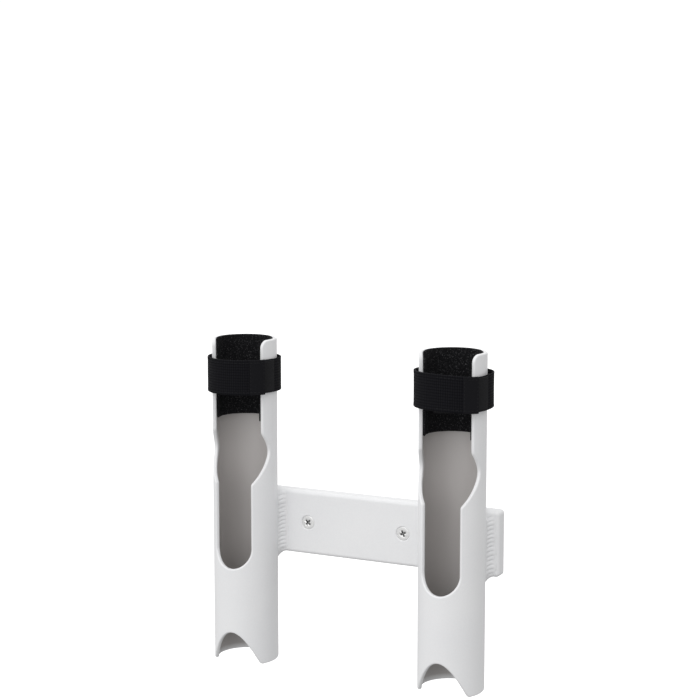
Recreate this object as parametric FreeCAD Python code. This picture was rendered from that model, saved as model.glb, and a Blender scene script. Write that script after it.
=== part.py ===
"""Wall-mounted fly-rod holder: two slotted tubes welded to a crossbar, each with a liner and a strap.

Frame: origin at the centre of the crossbar's back face, which lies on the wall. +Z is up, +X is to
the right of someone facing the holder, and the holder's front faces -Y. Lengths are in millimetres.
An angle round a tube is measured from its front (-Y), positive towards +X.
"""

import FreeCAD, Part
import math
import os

from BOPTools import SplitAPI
from FreeCAD import Vector

# Crossbar
BAR_LENGTH = 241.3
BAR_HEIGHT = 50.8
BAR_DEPTH = 12.7
BAR_EDGE_RADIUS = 3.0

# Tubes
TUBE_DIAMETER = 50.8
TUBE_WALL = 3.2
TUBE_LENGTH = 257.2
TUBE_TOP = 146.2           # rim's height above the bar's centre line
TUBE_SPACING = 177.8       # between the two tube axes
TUBE_AXIS_TO_BAR = 15.0    # from a tube's axis back to the bar's front face

# Front slot, from the rim down: a straight mouth, an oval bulge, a narrower straight part, a round end
SLOT_CORNER_RADIUS = 6.4   # where the slot meets the rim
SLOT_MOUTH_HALF_WIDTH = 22.0
SLOT_BULGE_HALF_WIDTH = 24.75
SLOT_BULGE_HALF_HEIGHT = 32.0
SLOT_BULGE_DEPTH = 88.0    # bulge's centre below the rim
SLOT_NECK_HALF_WIDTH = 15.8
SLOT_DEPTH = 180.0         # slot's lowest point below the rim
SLOT_SOFTNESS = 0.4        # how gently the bulge runs into the straight parts

# Arched notch in the front of each tube's bottom
NOTCH_HALF_WIDTH = 20.9
NOTCH_HEIGHT = 25.8
NOTCH_FOOT_RADIUS = 3.0    # where the notch meets the rim

TUBE_TURN_DEG = {"left": 2.0, "right": 0.0}  # slot and notch face this far off the front

# Liner in each tube's mouth
LINER_THICKNESS = 2.0
LINER_HEIGHT = 63.8
LINER_PROUD = 0.3          # stands above the rim
LINER_HALF_GAP_DEG = 62.5  # the slot's edges stay clear of it

# Straps: webbing with sewn hook and loop patches
STRAP_WIDTH = 25.4
STRAP_DEPTH = 27.5         # strap's centre line below the rim
WEBBING_THICKNESS = 1.4
LOOP_THICKNESS = 1.2
HOOK_THICKNESS = 1.1
STRAP_CLEARANCE = 0.4      # between the moving arms and the tube
BAND_END_DEG = 97.0        # the band wraps the tube's back between these angles
FLAP_RADIUS = 28.4         # middle of the flap's webbing, about its own centre
FLAP_CENTRE_RIGHT = 1.2    # flap's centre from the tube's axis, so that it rides over the tab
FLAP_CENTRE_FRONT = 2.2
FLAP_START_DEG = -89.0
FLAP_END_DEG = 60.0
HOOK_START_DEG = 0.0
HOOK_END_DEG = 57.0
TAB_START_DEG = 88.0
TAB_END_DEG = -8.0
LOOP_START_DEG = 84.0
LOOP_END_DEG = -5.0

# Rivet that holds a strap's band and the liner to the tube's back
RIVET_RADIUS = 2.0
RIVET_HEAD_RADIUS = 4.0
RIVET_HEAD_HEIGHT = 1.2
RIVET_TAIL_RADIUS = 3.5
RIVET_TAIL_HEIGHT = 0.5
WASHER_RADIUS = 5.5
WASHER_THICKNESS = 0.6

# Wall screws
SCREW_SPACING = 82.6
SCREW_HEAD_RADIUS = 5.55
SCREW_HEAD_HEIGHT = 3.1
SCREW_HEAD_SINK = 0.5      # below the bar's front
SCREW_SHANK_RADIUS = 2.4
SCREW_THREAD_RADIUS = 2.75
SCREW_THREAD_LENGTH = 25.4
SCREW_POINT_LENGTH = 5.0
SCREW_HOLE_RADIUS = 3.0
RECESS_WIDTH = 1.3
RECESS_LENGTH = 5.6
RECESS_DEPTH = 2.0

# Weld beads, in the corner between a tube's side and the bar's front
WELD_REACH_ON_TUBE = 4.5   # from the bar's face forward
WELD_REACH_ON_BAR = 3.2    # past the tube's side
WELD_CROWN = 0.9
WELD_TOP = 24.6
WELD_BOTTOM = -28.0

UP = Vector(0, 0, 1)
BACKWARD = Vector(0, 1, 0)
TUBE_RADIUS = TUBE_DIAMETER / 2
BORE_RADIUS = TUBE_RADIUS - TUBE_WALL
BAR_FRONT_Y = -BAR_DEPTH
TUBE_AXIS_Y = BAR_FRONT_Y - TUBE_AXIS_TO_BAR
TUBE_BOTTOM = TUBE_TOP - TUBE_LENGTH
STRAP_Z = TUBE_TOP - STRAP_DEPTH
SIDES = {"left": -1, "right": 1}


def polar(radius, angle_deg, z=0.0, centre=Vector()):
    """Point at an angle round a vertical axis, measured from the front."""
    angle = math.radians(angle_deg)
    return centre + Vector(radius * math.sin(angle), -radius * math.cos(angle), z)


def sector(inner, outer, start_deg, end_deg, low, high, centre=Vector()):
    """Part of an upright ring between two angles."""
    middle_deg = (start_deg + end_deg) / 2
    outer_arc = Part.Arc(
        polar(outer, start_deg, low, centre),
        polar(outer, middle_deg, low, centre),
        polar(outer, end_deg, low, centre),
    ).toShape()
    inner_arc = Part.Arc(
        polar(inner, end_deg, low, centre),
        polar(inner, middle_deg, low, centre),
        polar(inner, start_deg, low, centre),
    ).toShape()
    end_line = Part.makeLine(polar(outer, end_deg, low, centre), polar(inner, end_deg, low, centre))
    start_line = Part.makeLine(
        polar(inner, start_deg, low, centre), polar(outer, start_deg, low, centre)
    )
    outline = Part.Wire([outer_arc, end_line, inner_arc, start_line])
    return Part.Face(outline).extrude(UP * (high - low))


def angle_of_half_width(half_width):
    """Angle round the tube's outside whose point is that far to the side of the axis."""
    return math.degrees(math.asin(half_width / TUBE_RADIUS))


def slot_half_width(z):
    """Half the slot's width, seen from the front, where the oval bulge meets the straight parts."""
    bulge_z = TUBE_TOP - SLOT_BULGE_DEPTH
    straight = SLOT_MOUTH_HALF_WIDTH if z > bulge_z else SLOT_NECK_HALF_WIDTH
    inside = 1 - ((z - bulge_z) / SLOT_BULGE_HALF_HEIGHT) ** 2
    bulge = SLOT_BULGE_HALF_WIDTH * math.sqrt(inside) if inside > 0 else 0.0
    return (straight + bulge + math.hypot(straight - bulge, SLOT_SOFTNESS)) / 2


def both_sides(stretches):
    """The stretches and their mirror images, each a list of (angle, z) points."""
    return stretches + [[(-angle, z) for angle, z in stretch] for stretch in stretches]


def slot_outline():
    """Edge of the slot from above the rim down one side and up the other, in stretches."""
    bulge_top = TUBE_TOP - SLOT_BULGE_DEPTH + SLOT_BULGE_HALF_HEIGHT
    bulge_bottom = bulge_top - 2 * SLOT_BULGE_HALF_HEIGHT
    sides = []
    for step in range(41):
        z = bulge_top + (bulge_bottom - bulge_top) * step / 40
        sides.append((angle_of_half_width(slot_half_width(z)), z))
    mouth_deg = sides[0][0]
    neck_deg = sides[-1][0]
    end_radius = slot_half_width(bulge_bottom)
    end_z = TUBE_TOP - SLOT_DEPTH + end_radius
    mouth = [(mouth_deg, TUBE_TOP + 10), (mouth_deg, bulge_top)]
    neck = [(neck_deg, bulge_bottom), (neck_deg, end_z)]
    round_end = []
    for step in range(25):
        turn = math.pi * step / 24
        angle = angle_of_half_width(end_radius * math.cos(turn))
        round_end.append((angle, end_z - end_radius * math.sin(turn)))
    return both_sides([mouth, sides, neck]) + [round_end]


def notch_outline():
    """Edge of the bottom notch: an arch, and straight down past the rim, in stretches."""
    arch = []
    for step in range(-14, 15):
        half_width = NOTCH_HALF_WIDTH * step / 14
        height = NOTCH_HEIGHT * (1 - (half_width / NOTCH_HALF_WIDTH) ** 2)
        arch.append((angle_of_half_width(half_width), TUBE_BOTTOM + height))
    foot_deg = arch[-1][0]
    below = [(foot_deg, TUBE_BOTTOM), (foot_deg, TUBE_BOTTOM - 10)]
    return both_sides([below]) + [arch]


def wrapped_edge(stretch, radius):
    """Edge through (angle, z) points laid on an upright cylinder."""
    points = [polar(radius, angle, z) for angle, z in stretch]
    if len(points) == 2:
        return Part.makeLine(points[0], points[1])
    curve = Part.BSplineCurve()
    curve.interpolate(points)
    return curve.toShape()


def radial_cut(outline):
    """Surfaces through a tube's wall, square to it, along an outline."""
    faces = []
    for stretch in outline:
        inner_edge = wrapped_edge(stretch, BORE_RADIUS - 3)
        outer_edge = wrapped_edge(stretch, TUBE_RADIUS + 3)
        faces.append(Part.makeRuledSurface(inner_edge, outer_edge))
    return Part.makeShell(faces)


def largest(shape):
    """The biggest solid in a shape."""
    return max(shape.Solids, key=lambda solid: solid.Volume)


def rim_corners(wall, rim_z):
    """Edges across the wall where a cut meets a rim."""
    corners = []
    for edge in wall.Edges:
        ends = [vertex.Point for vertex in edge.Vertexes]
        on_rim = len(ends) == 2 and all(abs(end.z - rim_z) < 0.01 for end in ends)
        if on_rim and abs(edge.Length - TUBE_WALL) < 0.05:
            corners.append(edge)
    return corners


def make_tube(turn_deg):
    """Tube about the Z axis, with its slot and its notch turned off the front by an angle."""
    bottom = Vector(0, 0, TUBE_BOTTOM)
    wall = Part.makeCylinder(TUBE_RADIUS, TUBE_LENGTH, bottom, UP)
    wall = wall.cut(Part.makeCylinder(BORE_RADIUS, TUBE_LENGTH, bottom, UP))
    for outline in (slot_outline(), notch_outline()):
        wall = largest(SplitAPI.slice(wall, [radial_cut(outline)], "Split"))
    wall = wall.makeFillet(SLOT_CORNER_RADIUS, rim_corners(wall, TUBE_TOP))
    wall = wall.makeFillet(NOTCH_FOOT_RADIUS, rim_corners(wall, TUBE_BOTTOM))
    wall.rotate(Vector(), UP, turn_deg)
    rivet_hole = Part.makeCylinder(RIVET_RADIUS, TUBE_RADIUS + 5, Vector(0, 0, STRAP_Z), BACKWARD)
    return wall.cut(rivet_hole)


def make_liner():
    """Pad inside the tube's mouth, open where the slot is."""
    low = TUBE_TOP + LINER_PROUD - LINER_HEIGHT
    pad = sector(
        BORE_RADIUS - LINER_THICKNESS,
        BORE_RADIUS,
        LINER_HALF_GAP_DEG,
        360 - LINER_HALF_GAP_DEG,
        low,
        low + LINER_HEIGHT,
    )
    rivet_hole = Part.makeCylinder(RIVET_RADIUS, TUBE_RADIUS, Vector(0, 0, STRAP_Z), BACKWARD)
    return pad.cut(rivet_hole)


def strap_sector(inner, outer, start_deg, end_deg, centre=Vector()):
    """Strap-high piece of webbing or patch round a vertical axis."""
    low = STRAP_Z - STRAP_WIDTH / 2
    high = STRAP_Z + STRAP_WIDTH / 2
    return sector(inner, outer, start_deg, end_deg, low, high, centre)


def make_strap():
    """Nodes of one strap about the Z axis: band, flap with hooks, tab with loops."""
    band = strap_sector(
        TUBE_RADIUS, TUBE_RADIUS + WEBBING_THICKNESS, BAND_END_DEG, 360 - BAND_END_DEG
    )
    rivet_hole = Part.makeCylinder(RIVET_RADIUS, TUBE_RADIUS + 5, Vector(0, 0, STRAP_Z), BACKWARD)
    tab_inner = TUBE_RADIUS + STRAP_CLEARANCE
    tab_outer = tab_inner + WEBBING_THICKNESS
    flap_centre = Vector(FLAP_CENTRE_RIGHT, -FLAP_CENTRE_FRONT, 0)
    flap_inner = FLAP_RADIUS - WEBBING_THICKNESS / 2
    flap_outer = FLAP_RADIUS + WEBBING_THICKNESS / 2
    return {
        "strap_band": band.cut(rivet_hole),
        "strap_flap": strap_sector(
            flap_inner, flap_outer, FLAP_START_DEG, FLAP_END_DEG, flap_centre
        ),
        "hook_patch": strap_sector(
            flap_inner - HOOK_THICKNESS, flap_inner, HOOK_START_DEG, HOOK_END_DEG, flap_centre
        ),
        "strap_tab": strap_sector(tab_inner, tab_outer, TAB_START_DEG, TAB_END_DEG),
        "loop_patch": strap_sector(
            tab_outer, tab_outer + LOOP_THICKNESS, LOOP_START_DEG, LOOP_END_DEG
        ),
    }


def along_back(start, length, radius):
    """Round rod that lies along +Y at the strap's height, from a distance behind the tube's axis."""
    return Part.makeCylinder(radius, length, Vector(0, start, STRAP_Z), BACKWARD)


def make_washer():
    """Thin washer bent to the liner's inside, under the rivet's head."""
    liner_face = BORE_RADIUS - LINER_THICKNESS
    ring = strap_sector(liner_face - WASHER_THICKNESS, liner_face, 160, 200)
    washer = ring.common(along_back(0, TUBE_RADIUS, WASHER_RADIUS))
    return washer.cut(along_back(0, TUBE_RADIUS, RIVET_RADIUS))


def make_rivet():
    """Rivet through washer, liner, tube wall and band: head inside the tube, flat tail outside."""
    liner_face = BORE_RADIUS - LINER_THICKNESS
    head_face = liner_face - WASHER_THICKNESS - RIVET_HEAD_HEIGHT
    band_face = TUBE_RADIUS + WEBBING_THICKNESS
    tail_face = band_face + RIVET_TAIL_HEIGHT
    head = along_back(head_face, liner_face - head_face, RIVET_HEAD_RADIUS)
    tail = along_back(TUBE_RADIUS, tail_face - TUBE_RADIUS, RIVET_TAIL_RADIUS)
    # The head and the tail are pressed onto curved faces, so they are trimmed to them.
    between = strap_sector(liner_face - WASHER_THICKNESS, band_face, 150, 210)
    shank = along_back(head_face, tail_face - head_face, RIVET_RADIUS)
    return shank.fuse([head.cut(between), tail.cut(between)]).removeSplitter()


def make_welds():
    """The two beads of a tube about the Z axis: (towards -X, towards +X)."""
    corner_x = math.sqrt(TUBE_RADIUS**2 - TUBE_AXIS_TO_BAR**2)
    tube_y = TUBE_AXIS_TO_BAR - WELD_REACH_ON_TUBE
    on_tube = Vector(math.sqrt(TUBE_RADIUS**2 - tube_y**2), tube_y, 0)
    on_bar = Vector(TUBE_RADIUS + WELD_REACH_ON_BAR, TUBE_AXIS_TO_BAR, 0)
    corner = Vector(corner_x, TUBE_AXIS_TO_BAR, 0)
    middle = (on_tube + on_bar) / 2
    outward = (middle - corner).normalize()
    crown = middle + outward * WELD_CROWN
    outline = Part.Wire(
        [
            Part.Arc(on_tube, crown, on_bar).toShape(),
            Part.makeLine(on_bar, corner),
            Part.makeLine(corner, on_tube),
        ]
    )
    bead = Part.Face(outline).extrude(UP * (WELD_TOP - WELD_BOTTOM))
    bead.translate(Vector(0, 0, WELD_BOTTOM))
    tube_space = Part.makeCylinder(TUBE_RADIUS, TUBE_LENGTH, Vector(0, 0, TUBE_BOTTOM), UP)
    bead = largest(bead.cut(tube_space))
    return bead.mirror(Vector(), Vector(1, 0, 0)), bead


def make_screw():
    """Countersunk screw along +Y: head just below the bar's front, thread behind the wall face."""
    head_front = BAR_FRONT_Y + SCREW_HEAD_SINK
    head_back = head_front + SCREW_HEAD_HEIGHT
    head = Part.makeCone(
        SCREW_HEAD_RADIUS,
        SCREW_SHANK_RADIUS,
        SCREW_HEAD_HEIGHT,
        Vector(0, head_front, 0),
        BACKWARD,
    )
    shank = Part.makeCylinder(SCREW_SHANK_RADIUS, -head_back, Vector(0, head_back, 0), BACKWARD)
    thread_length = SCREW_THREAD_LENGTH - SCREW_POINT_LENGTH
    thread = Part.makeCylinder(SCREW_THREAD_RADIUS, thread_length, Vector(), BACKWARD)
    point = Part.makeCone(
        SCREW_THREAD_RADIUS, 0.4, SCREW_POINT_LENGTH, Vector(0, thread_length, 0), BACKWARD
    )
    screw = head.fuse([shank, thread, point])
    for length_x, length_z in ((RECESS_LENGTH, RECESS_WIDTH), (RECESS_WIDTH, RECESS_LENGTH)):
        corner = Vector(-length_x / 2, head_front, -length_z / 2)
        screw = screw.cut(Part.makeBox(length_x, RECESS_DEPTH, length_z, corner))
    return screw


def make_crossbar():
    """Flat bar with rounded edges, a round seat for each tube and two countersunk holes."""
    corner = Vector(-BAR_LENGTH / 2, -BAR_DEPTH, -BAR_HEIGHT / 2)
    bar = Part.makeBox(BAR_LENGTH, BAR_DEPTH, BAR_HEIGHT, corner)
    bar = bar.makeFillet(BAR_EDGE_RADIUS, bar.Edges)
    seat_slope = (SCREW_HEAD_RADIUS - SCREW_SHANK_RADIUS) / SCREW_HEAD_HEIGHT
    seat_radius = SCREW_HEAD_RADIUS + SCREW_HEAD_SINK * seat_slope
    seat_depth = SCREW_HEAD_SINK + SCREW_HEAD_HEIGHT
    for side in SIDES.values():
        axis = Vector(side * TUBE_SPACING / 2, TUBE_AXIS_Y, -BAR_HEIGHT)
        bar = bar.cut(Part.makeCylinder(TUBE_RADIUS, 2 * BAR_HEIGHT, axis, UP))
        at_screw = Vector(side * SCREW_SPACING / 2, BAR_FRONT_Y, 0)
        bar = bar.cut(Part.makeCylinder(SCREW_HOLE_RADIUS, BAR_DEPTH, at_screw, BACKWARD))
        head_seat = Part.makeCone(
            seat_radius, SCREW_SHANK_RADIUS, seat_depth, at_screw, BACKWARD
        )
        bar = bar.cut(head_seat)
    return bar


def make_nodes():
    """Every piece in place, by node name."""
    nodes = {"crossbar": make_crossbar()}
    towards_left, towards_right = make_welds()
    for name, side in SIDES.items():
        pieces = {"tube": make_tube(TUBE_TURN_DEG[name]), "liner": make_liner(), **make_strap()}
        pieces["strap_rivet"] = make_rivet()
        pieces["rivet_washer"] = make_washer()
        pieces["outer_weld"] = towards_right if side > 0 else towards_left
        pieces["inner_weld"] = towards_left if side > 0 else towards_right
        tube_place = Vector(side * TUBE_SPACING / 2, TUBE_AXIS_Y, 0)
        for piece, shape in pieces.items():
            nodes[f"{name}_{piece}"] = shape.translated(tube_place)
        screw_place = Vector(side * SCREW_SPACING / 2, 0, 0)
        nodes[f"{name}_wall_screw"] = make_screw().translated(screw_place)
    return nodes


def main():
    os.makedirs("parts", exist_ok=True)
    for name, shape in make_nodes().items():
        solids = shape.Solids
        print(f"{name}: {len(solids)} solid, {shape.Volume:.0f} mm3, valid {shape.isValid()}")
        solid = solids[0] if len(solids) == 1 else Part.makeCompound(solids)
        solid.exportStep(os.path.join("parts", f"{name}.step"))


main()
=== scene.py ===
"""Looks of the two-tube rod holder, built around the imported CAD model.

The frame is the CAD's: metres, +Z up, the holder's front faces -Y. Shapes are worked out in
millimetres and scaled when their mesh is made. An angle round a tube is measured in degrees from
its front (-Y), positive towards +X, and a height on a strap or a tube is its z.
"""

import math
import random
from types import SimpleNamespace

import bmesh
import bpy
import numpy as np
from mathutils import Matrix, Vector, noise
from mathutils.geometry import delaunay_2d_cdt

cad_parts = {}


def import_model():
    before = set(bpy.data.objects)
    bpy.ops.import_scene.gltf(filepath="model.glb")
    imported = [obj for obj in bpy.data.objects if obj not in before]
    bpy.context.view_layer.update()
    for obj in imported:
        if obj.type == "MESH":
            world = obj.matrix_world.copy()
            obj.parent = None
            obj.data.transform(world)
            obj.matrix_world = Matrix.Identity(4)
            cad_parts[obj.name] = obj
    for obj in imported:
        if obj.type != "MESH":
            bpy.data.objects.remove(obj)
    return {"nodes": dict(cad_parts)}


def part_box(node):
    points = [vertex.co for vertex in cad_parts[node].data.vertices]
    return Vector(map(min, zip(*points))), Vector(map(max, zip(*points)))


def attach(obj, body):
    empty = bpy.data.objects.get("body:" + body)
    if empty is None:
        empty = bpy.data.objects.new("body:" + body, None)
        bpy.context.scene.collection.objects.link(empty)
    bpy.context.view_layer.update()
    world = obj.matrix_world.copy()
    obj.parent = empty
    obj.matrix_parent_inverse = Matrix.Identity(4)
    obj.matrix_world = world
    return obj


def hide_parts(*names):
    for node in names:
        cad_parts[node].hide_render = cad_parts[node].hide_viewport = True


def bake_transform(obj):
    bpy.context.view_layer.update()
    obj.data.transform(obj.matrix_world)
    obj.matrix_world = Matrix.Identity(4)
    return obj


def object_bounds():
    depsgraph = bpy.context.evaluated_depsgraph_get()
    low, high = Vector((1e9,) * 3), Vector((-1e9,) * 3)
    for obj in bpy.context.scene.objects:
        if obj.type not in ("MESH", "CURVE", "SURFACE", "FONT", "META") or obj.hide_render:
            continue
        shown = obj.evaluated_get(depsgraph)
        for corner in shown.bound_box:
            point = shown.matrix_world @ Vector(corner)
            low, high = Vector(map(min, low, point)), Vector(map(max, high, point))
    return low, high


MM = 0.001
WHITE = (1.0, 1.0, 1.0, 1.0)
SIDES = {"left": -1, "right": 1}

# Tube wall, slot and notch
WALL = 3.2
WALL_EDGE_RADIUS = 1.2
SLOT_CORNER_RADIUS = 6.4
SLOT_MOUTH_HALF_WIDTH = 22.0
SLOT_BULGE_HALF_WIDTH = 24.75
SLOT_BULGE_HALF_HEIGHT = 32.0
SLOT_BULGE_DEPTH = 88.0
SLOT_NECK_HALF_WIDTH = 15.8
SLOT_DEPTH = 180.0
SLOT_SOFTNESS = 0.4
NOTCH_HALF_WIDTH = 20.9
NOTCH_HEIGHT = 25.8
NOTCH_FOOT_LENGTH = 1.6
TUBE_TURN = {"left": 2.0, "right": 0.0}  # of slot and notch about the axis, in degrees
EDGE_SPACING = 0.8
WALL_ROWS, WALL_COLUMNS = 53, 65

# Crossbar, and weld beads by knots of (share of a bead's length, millimetres or strength)
BAR_EDGE_RADIUS = 3.0
BEAD_ON_TUBE = [(0, 0.4), (0.07, 2.4), (0.2, 5.4), (0.78, 5.6), (0.86, 6.6), (0.93, 5.6), (1, 0.6)]
BEAD_ON_BAR = [(0, 0.8), (0.05, 6.0), (0.13, 8.6), (0.8, 9.2), (0.9, 7.4), (1, 0.8)]
BEAD_CROWN = [(0, 0.0), (0.12, 0.2), (0.24, 0.9), (0.76, 0.9), (0.86, 0.1), (1, 0.0)]
BEAD_SINK = 0.15  # of both toes into the metal
BEAD_ROOT = 0.8
ACROSS_BEAD = np.linspace(0, 1, 23)
BEAD_BOW = 4 * ACROSS_BEAD * (1 - ACROSS_BEAD)
RIPPLE_STRENGTH = [(0, 0.1), (0.12, 0.4), (0.22, 1.0), (0.8, 1.0), (0.9, 0.3), (1, 0.1)]
RIPPLE_PITCH = 3.3
RIPPLE_HEIGHT = 1.0

# Liner
LINER_THICKNESS = 2.0
LINER_HALF_GAP = 62.0
LINER_CLEARANCE = 0.15
RIVET_DENT, RIVET_DENT_RADIUS = 0.45, 7.5

# Straps: each layer's radius and its rise above the strap's centre line, at angles round the tube
WEBBING = 1.3
OUTER_WIDTH = 27.3
UNDER_WIDTH = 26.1
OUTER_RADII = {
    "left": [(-180, 26.1), (-150, 26.1), (-120, 26.8), (-90, 27.5), (-63, 27.9), (-40, 28.8),
             (-20, 29.8), (0, 30.5), (20, 30.8), (80, 30.3)],
    "right": [(-180, 26.1), (-150, 26.1), (-120, 27.1), (-90, 28.0), (-63, 28.5), (-40, 29.1),
              (-20, 29.8), (0, 30.5), (20, 30.8), (80, 30.3)],
}
OUTER_RISES = {
    "left": [(-180, 0.0), (-90, 0.0), (0, 0.1), (60, 0.0)],
    "right": [(-180, 0.0), (-110, 0.0), (-70, 0.5), (-5, 1.1), (5, 0.9), (21, 0.3), (29, -0.2),
              (52, -1.2), (65, -1.4)],
}
UNDER_RADII = {
    "left": [(-30, 26.5), (70, 26.5), (90, 27.1), (117, 28.2), (150, 27.1), (180, 26.1)],
    "right": [(-30, 26.5), (70, 27.0), (90, 28.5), (117, 30.2), (150, 28.1), (180, 26.1)],
}
UNDER_RISES = {
    "left": [(-30, -0.2), (90, -0.2), (150, 0.0)],
    "right": [(-30, -1.9), (64, -1.6), (82, -1.1), (120, 0.0)],
}
HOOK_TAPE = SimpleNamespace(first=0, last=57, out=-0.95, thickness=0.6, width=24.6)
END_TAPE = SimpleNamespace(first=37, last=60.3, out=0.8, thickness=0.5, width=26.8)
LOOP_TAPE = SimpleNamespace(first=84, last=-5, out=1.15, thickness=1.0, width=24.8)
STITCH = SimpleNamespace(length=2.1, width=0.55, proud=0.22, pitch=2.9)
HOOKS = SimpleNamespace(row=1.2, half_height=10.8, step=1.3, jitter_deg=0.4)
KNOT_SMOOTHING = 14  # degrees to each side
WOVEN_EDGE = SimpleNamespace(width=1.6, proud=0.12)
BEND = SimpleNamespace(flap_x=-26.9, tab_x=26.6, start_y=4.0, end_y=-5.0)  # from the tube's axis

# Screw, by depths under its face: recess with half length and half width, head's edge with what it
# adds to the head's radius, and shank with its radius
RECESS_FLOOR = 2.1
RECESS = [(1.95, 1.3, 0.45), (1.0, 2.0, 0.55), (0.12, 2.45, 0.62), (0.0, 2.6, 0.75)]
HEAD_EDGE = [(0.0, -0.5), (0.03, -0.12), (0.12, 0.0), (0.22, -0.06)]
SHANK = [(3.2, 2.35), (6.0, 2.35)]
THREAD = SimpleNamespace(start=-2.0, pitch=1.8, root=1.95, crest=2.75, fade=2.0, point=5.0)
RECESS_TURN = {"left": 42.0, "right": 66.0}

# Rivet and washer by (place along the axis, radius), from the rivet's two ends and on the liner
RIVET_HEAD = [(-0.1, 0.3), (-0.05, 1.6), (0.15, 2.9), (0.5, 3.7), (0.9, 4.0), (1.15, 3.9),
              (1.2, 3.4), (1.3, 2.0)]
RIVET_TAIL = [(-0.75, 2.0), (-0.7, 3.2), (-0.45, 3.5), (-0.1, 3.4), (0.0, 3.0), (-0.05, 2.4),
              (-0.35, 1.7), (-0.6, 0.4)]
WASHER = [(0.0, 2.1), (0.0, 4.9), (0.15, 5.35), (0.3, 5.5), (0.5, 5.45), (0.6, 5.2), (0.6, 2.1)]
WASHER_RISE = 0.75  # of its front over the liner's face

# Camera, from the middle between the tubes, their axes and their rims
CAMERA = SimpleNamespace(across=604.75, before=1191.5, above=175.85, tilt=7.686, turn=26.772,
                         lens=91.25)


# ---- mesh helpers


def make_object(name, vertices, faces, normals=None, uvs=None, shade=None):
    """Smooth-shaded closed mesh from vertices in millimetres.

    uvs, in millimetres, and shade, the painted shade from 0 to 1, are given per vertex for the
    materials."""
    mesh = bpy.data.meshes.new(name)
    mesh.from_pydata((np.asarray(vertices) * MM).tolist(), [], [list(map(int, f)) for f in faces])
    if normals is None:
        turn_outward(mesh)
    mesh.polygons.foreach_set("use_smooth", [True] * len(mesh.polygons))
    if uvs is not None:
        layer = mesh.uv_layers.new(name="UVMap")
        corner_vertices = np.empty(len(mesh.loops), dtype=int)
        mesh.loops.foreach_get("vertex_index", corner_vertices)
        layer.data.foreach_set("uv", np.asarray(uvs)[corner_vertices].ravel())
    if shade is not None:
        attribute = mesh.attributes.new("shade", "FLOAT", "POINT")
        attribute.data.foreach_set("value", np.asarray(shade, dtype=float))
    if normals is not None:
        mesh.normals_split_custom_set_from_vertices(np.asarray(normals).tolist())
    piece = bpy.data.objects.new(name, mesh)
    bpy.context.scene.collection.objects.link(piece)
    return piece


def turn_outward(mesh):
    """Makes every face of a closed mesh face outwards."""
    shape = bmesh.new()
    shape.from_mesh(mesh)
    bmesh.ops.recalc_face_normals(shape, faces=shape.faces)
    shape.to_mesh(mesh)
    shape.free()


def ring_faces(rows, columns, joined=False):
    """Quads between rings numbered row by row; joined joins the last ring to the first."""
    faces = []
    for row in range(rows if joined else rows - 1):
        low = row * columns
        high = (row + 1) % rows * columns
        for column in range(columns):
            following = (column + 1) % columns
            faces.append((low + column, low + following, high + following, high + column))
    return faces


def capped_faces(rows, columns):
    """Quads between rings, with a face over the first ring and one over the last."""
    last = (rows - 1) * columns
    caps = [tuple(range(columns)), tuple(range(last, last + columns))]
    return ring_faces(rows, columns) + caps


def weld(vertices, faces):
    """Joins vertices that share a place; returns the kept vertices' numbers and the new faces."""
    keys = np.round(vertices, 4)
    _, kept, index = np.unique(keys, axis=0, return_index=True, return_inverse=True)
    index = index.ravel()
    return kept, [[index[v] for v in face] for face in faces]


def distances(points):
    """How far along a line each of its points is."""
    steps = np.hypot(*np.diff(points, axis=0).T)
    return np.concatenate([[0], np.cumsum(steps)])


def resample(points, spacing):
    """The same line with points a steady distance apart."""
    points = np.asarray(points, dtype=float)
    along = distances(points)
    count = max(2, math.ceil(along[-1] / spacing) + 1)
    places = np.linspace(0, along[-1], count)
    return np.column_stack([np.interp(places, along, column) for column in points.T])


def fillet(before, corner, after, steps=10):
    """Arc that is tangent to both lines at a corner; both ends are equally far from the corner."""
    before, corner, after = (np.asarray(p, dtype=float) for p in (before, corner, after))
    one, two = before - corner, after - corner
    length = np.linalg.norm(one)
    half = math.acos(float(np.dot(one, two)) / length**2) / 2
    centre = corner + (one + two) / np.linalg.norm(one + two) * length / math.cos(half)
    start, end = before - centre, after - centre
    turn = math.pi - 2 * half
    arc = []
    for step in range(steps + 1):
        share = step / steps
        arc.append(centre + (math.sin((1 - share) * turn) * start + math.sin(share * turn) * end)
                   / math.sin(turn))
    return arc


def polar(radius, angle_deg):
    """Plan-view point round a tube's axis."""
    angle = np.radians(angle_deg)
    return np.stack([radius * np.sin(angle), -radius * np.cos(angle)], axis=-1)


# ---- what the frame says


def measure(node):
    """A CAD node's box in millimetres."""
    low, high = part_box(node)
    return np.array(low) / MM, np.array(high) / MM


def measure_tube(side):
    """A tube's axis, radius and ends in millimetres."""
    low, high = measure(f"{side}_tube")
    axis = (low + high) / 2
    return SimpleNamespace(x=axis[0], y=axis[1], radius=(high[0] - low[0]) / 2, top=high[2],
                           bottom=low[2])


def strap_centre(side):
    """Middle of a strap on its tube's axis."""
    tube = measure_tube(side)
    low, high = measure(f"{side}_strap_band")
    return tube.x, tube.y, (low[2] + high[2]) / 2


# ---- tubes


def slot_half_width(z, bulge_z):
    """Half the slot's width, seen from the front, at a height."""
    straight = SLOT_MOUTH_HALF_WIDTH if z > bulge_z else SLOT_NECK_HALF_WIDTH
    inside = 1 - ((z - bulge_z) / SLOT_BULGE_HALF_HEIGHT) ** 2
    bulge = SLOT_BULGE_HALF_WIDTH * math.sqrt(inside) if inside > 0 else 0.0
    return (straight + bulge + math.hypot(straight - bulge, SLOT_SOFTNESS)) / 2


def along_wall(half_width, radius):
    """Distance along the tube's outside to a point that far beside the front's centre line."""
    return radius * math.asin(half_width / radius)


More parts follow.
